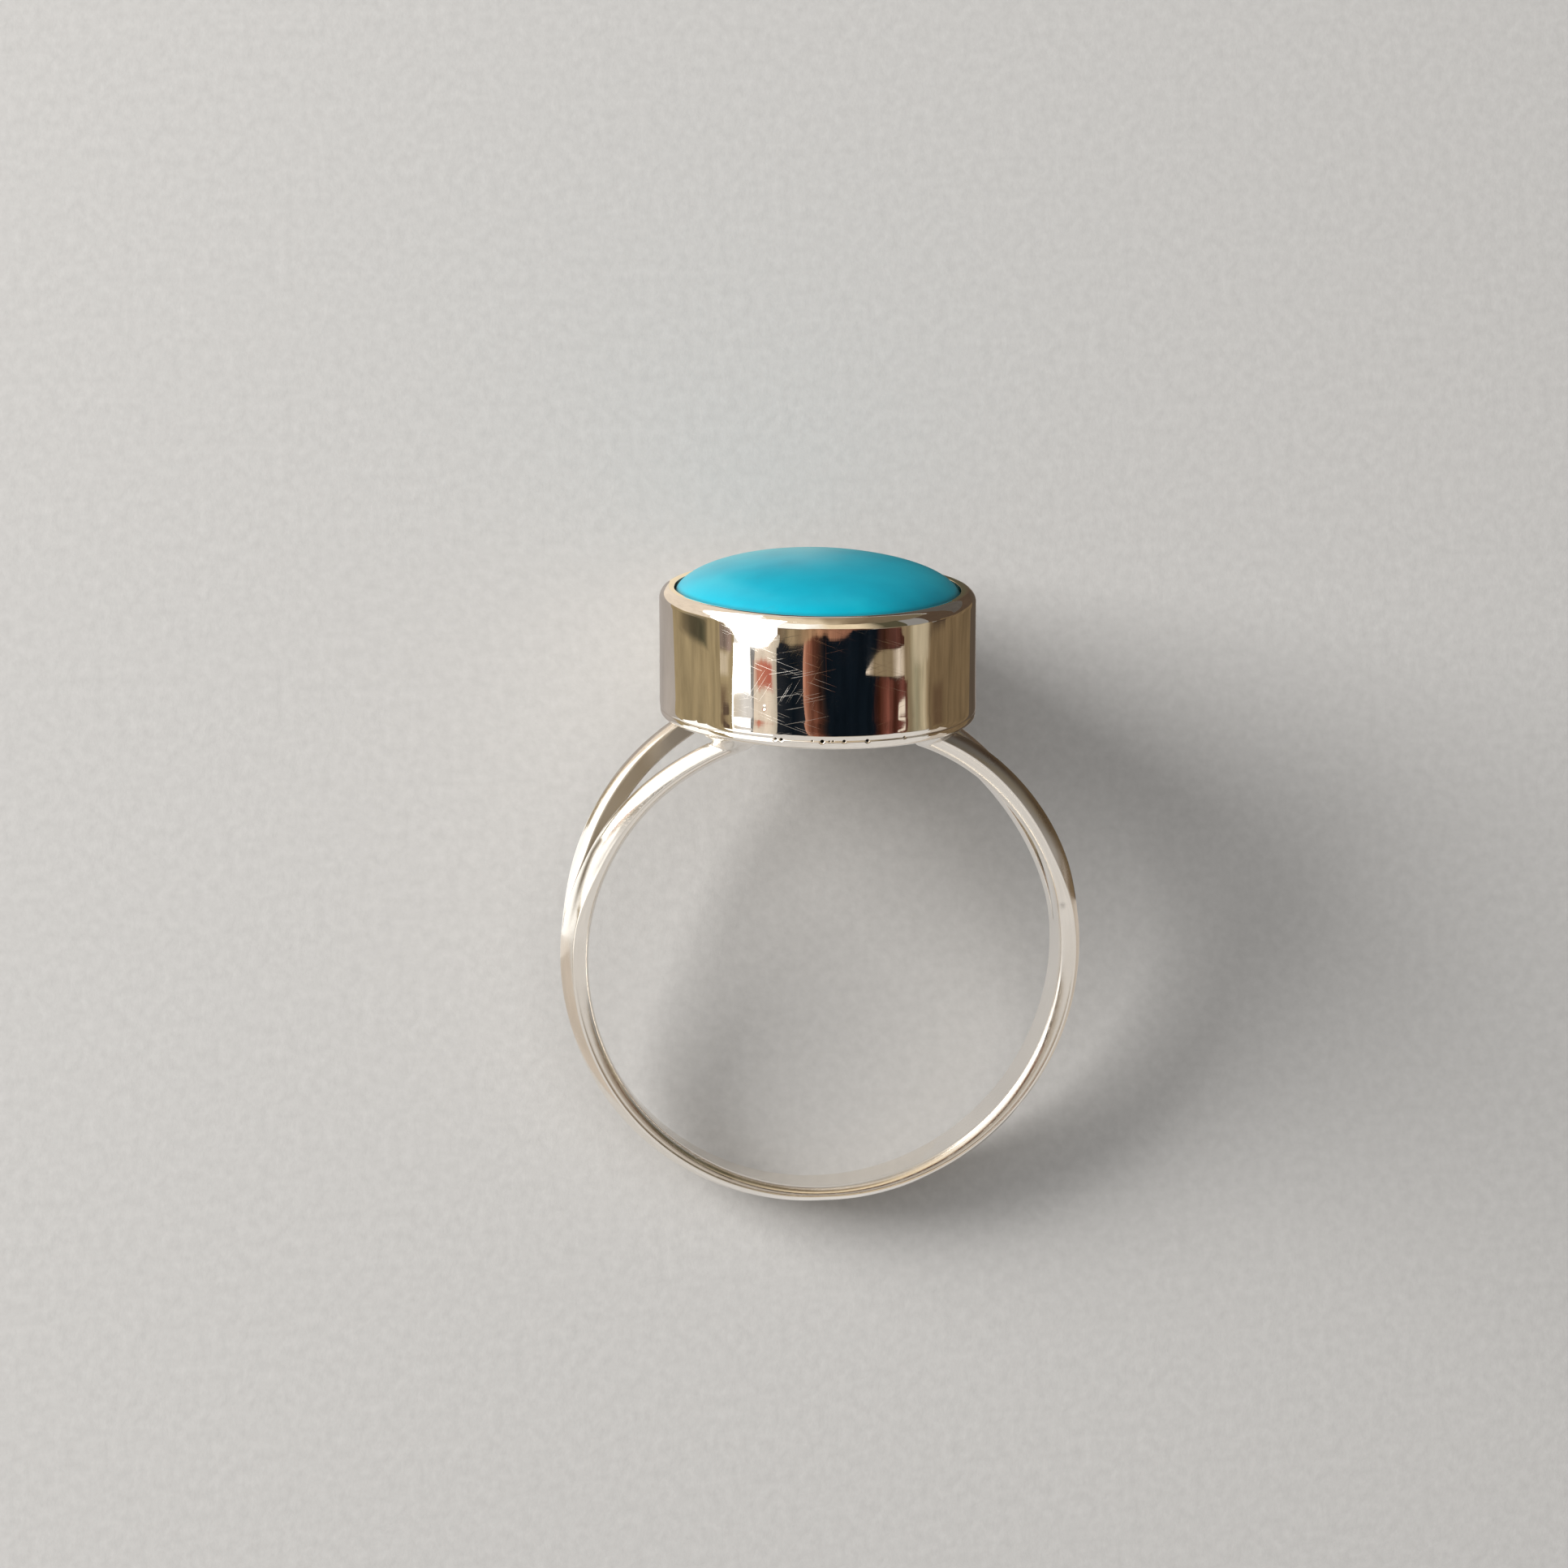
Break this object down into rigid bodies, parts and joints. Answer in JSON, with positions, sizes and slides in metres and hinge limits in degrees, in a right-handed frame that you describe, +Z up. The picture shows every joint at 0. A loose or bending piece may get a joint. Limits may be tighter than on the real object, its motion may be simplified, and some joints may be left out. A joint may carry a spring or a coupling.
{
  "type": "ring",
  "caption": "Finger ring with an oval turquoise in a tall plain silver bezel, on a thin half-round band that splits at each shoulder.",
  "frame": {"origin": "middle of the bounding box on the floor that the ring lies on", "axes": "+Z up from the floor; +Y along the floor from the bottom of the band towards the stone; +X across the finger to the wearer's right as the picture shows it; the finger's axis leans about 20 degrees from vertical"},
  "size_m": [0.0186, 0.0234, 0.0154],
  "materials": {
    "silver": "mirror-polished silver with fine scratches and small solder pits",
    "turquoise": "satin-polished opaque turquoise with a faint mottle"
  },
  "bodies": {
    "root": {"silver_mount": "silver", "stone": "turquoise"}
  },
  "joints": []
}
